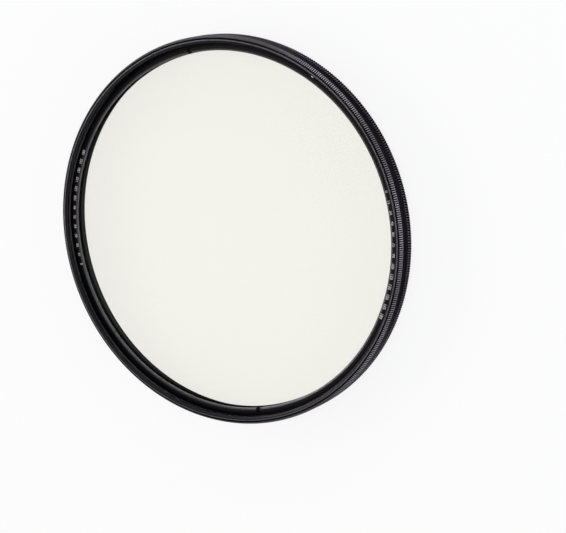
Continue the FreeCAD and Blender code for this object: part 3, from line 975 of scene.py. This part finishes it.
class OBJECT_OT_filter_stage(FilterPiece, bpy.types.Operator):
    """Set up the floor, the surroundings, the lamps and the camera."""
    bl_idname = "object.filter_stage"
    bl_label = "Stage"

    def execute(self, context):
        scene = context.scene
        s = scene.filter_stage
        scene.view_settings.view_transform = "Standard"
        self.floor(s)
        self.surroundings(scene)
        for name, values in SOFTBOXES.items():
            self.softbox(scene, name, *values)
        self.camera(scene, s)
        return {"FINISHED"}

    def floor(self, s):
        """Pale floor that the filter lies on; it keeps the shadow on a white ground."""
        bm = bmesh.new()
        bmesh.ops.create_grid(bm, x_segments=FLOOR_DIVISIONS, y_segments=FLOOR_DIVISIONS,
                              size=FLOOR_REACH)
        material, nodes, links, shader = new_material("pale_floor")
        place = own_place(nodes)
        specks = grain(nodes, links, place, FLOOR_SPECKS)
        tone = blend(nodes, links, specks, s.floor, shaded(s.floor, FLOOR_SHADE))
        links.new(tone.outputs["Result"], shader.inputs["Base Color"])
        shader.inputs["Roughness"].default_value = FLOOR_ROUGHNESS
        shader.inputs["Specular IOR Level"].default_value = 0.0
        glow = node(nodes, "ShaderNodeEmission", {"Color": WHITE, "Strength": 1.0})
        reach = node(nodes, "ShaderNodeVectorMath", operation="LENGTH")
        links.new(place, reach.inputs[0])
        share = node(nodes, "ShaderNodeMath", operation="MULTIPLY")
        links.new(self.seen(nodes, links), share.inputs[0])
        links.new(ranged(nodes, links, reach.outputs["Value"], FLOOR_GLOW, GLOW_REACH),
                  share.inputs[1])
        mix = node(nodes, "ShaderNodeMixShader")
        links.new(share.outputs["Value"], mix.inputs["Fac"])
        links.new(shader.outputs["BSDF"], mix.inputs[1])
        links.new(glow.outputs["Emission"], mix.inputs[2])
        links.new(mix.outputs["Shader"], nodes["Material Output"].inputs["Surface"])
        finish_mesh("floor", bm, [material])

    def seen(self, nodes, links):
        """1 for what the camera sees, also in metal and through glass."""
        path = node(nodes, "ShaderNodeLightPath")
        found = path.outputs["Is Camera Ray"]
        for kind in ("Is Glossy Ray", "Is Transmission Ray"):
            either = node(nodes, "ShaderNodeMath", operation="MAXIMUM")
            links.new(found, either.inputs[0])
            links.new(path.outputs[kind], either.inputs[1])
            found = either.outputs["Value"]
        return found

    def surroundings(self, scene):
        """Studio that is white at the horizon and dark overhead, the same for every ray."""
        world = bpy.data.worlds.new("studio")
        world.use_nodes = True
        nodes = world.node_tree.nodes
        links = world.node_tree.links
        place = node(nodes, "ShaderNodeTexCoord")
        parts = node(nodes, "ShaderNodeSeparateXYZ")
        links.new(place.outputs["Generated"], parts.inputs["Vector"])
        fade = ranged(nodes, links, parts.outputs["Z"], STUDIO_LIGHT, STUDIO_FADE)
        nodes["Background"].inputs["Color"].default_value = WHITE
        links.new(fade, nodes["Background"].inputs["Strength"])
        scene.world = world

    def softbox(self, scene, name, azimuth, elevation, distance, width, depth, watts, tint):
        """Lamp that faces the filter from an azimuth and an elevation in degrees."""
        light = bpy.data.lights.new(name, "AREA")
        light.shape = "RECTANGLE"
        light.size = width
        light.size_y = depth
        light.energy = watts
        light.color = tint
        turn = Euler((math.radians(90 - elevation), 0, math.radians(90 + azimuth)))
        lamp = bpy.data.objects.new(name, light)
        lamp.rotation_euler = turn
        lamp.location = turn.to_matrix() @ Vector((0, 0, distance))
        scene.collection.objects.link(lamp)

    def camera(self, scene, s):
        """Camera above the filter, rolled as the picture is."""
        data = bpy.data.cameras.new("camera")
        data.sensor_width = SENSOR_WIDTH
        data.sensor_fit = "HORIZONTAL"
        data.lens = s.lens
        data.clip_start = NEAREST
        data.clip_end = FARTHEST
        place = Vector(s.camera_place)
        back = (place - Vector(s.camera_aim)).normalized()
        right = Vector(s.camera_up).cross(back).normalized()
        turn = Matrix((right, back.cross(right), back)).transposed().to_4x4()
        camera = bpy.data.objects.new("camera", data)
        camera.matrix_world = Matrix.Translation(place) @ turn
        scene.collection.objects.link(camera)
        scene.camera = camera


class VIEW3D_PT_filter(bpy.types.Panel):
    """Lists the pieces of the filter and their sizes."""
    bl_label = "Circular polarizing filter"
    bl_idname = "VIEW3D_PT_filter"
    bl_space_type = "VIEW_3D"
    bl_region_type = "UI"
    bl_category = "Filter"

    def draw(self, context):
        layout = self.layout
        for operator in OPERATORS:
            layout.operator(operator.bl_idname)
        for name, group in SETTINGS.items():
            box = layout.box()
            settings = getattr(context.scene, name)
            box.label(text=group.__doc__)
            for key in group.__annotations__:
                box.prop(settings, key)


SETTINGS = {
    "filter_front_ring": FrontRingSettings,
    "filter_rear_ring": RearRingSettings,
    "filter_clamp_ring": ClampRingSettings,
    "filter_scale": ScaleSettings,
    "filter_laminate": LaminateSettings,
    "filter_finish": FinishSettings,
    "filter_stage": StageSettings,
}

OPERATORS = (
    OBJECT_OT_filter_front_ring,
    OBJECT_OT_filter_rear_ring,
    OBJECT_OT_filter_clamp_ring,
    OBJECT_OT_filter_laminate,
    OBJECT_OT_filter_snap_ring,
    OBJECT_OT_filter_scale,
    OBJECT_OT_filter_stage,
)


def register():
    """Add the settings to the scene, and the operators and the panel to Blender."""
    for name, group in SETTINGS.items():
        bpy.utils.register_class(group)
        setattr(bpy.types.Scene, name, PointerProperty(type=group))
    for operator in OPERATORS:
        bpy.utils.register_class(operator)
    bpy.utils.register_class(VIEW3D_PT_filter)


def unregister():
    """Take away what register added, in the opposite order."""
    bpy.utils.unregister_class(VIEW3D_PT_filter)
    for operator in reversed(OPERATORS):
        bpy.utils.unregister_class(operator)
    for name, group in reversed(SETTINGS.items()):
        delattr(bpy.types.Scene, name)
        bpy.utils.unregister_class(group)


def main():
    """Build every piece and the stage."""
    register()
    bpy.ops.object.filter_front_ring()
    bpy.ops.object.filter_rear_ring()
    bpy.ops.object.filter_clamp_ring()
    bpy.ops.object.filter_laminate()
    bpy.ops.object.filter_snap_ring()
    bpy.ops.object.filter_scale()
    bpy.ops.object.filter_stage()


if __name__ == "__main__":
    main()
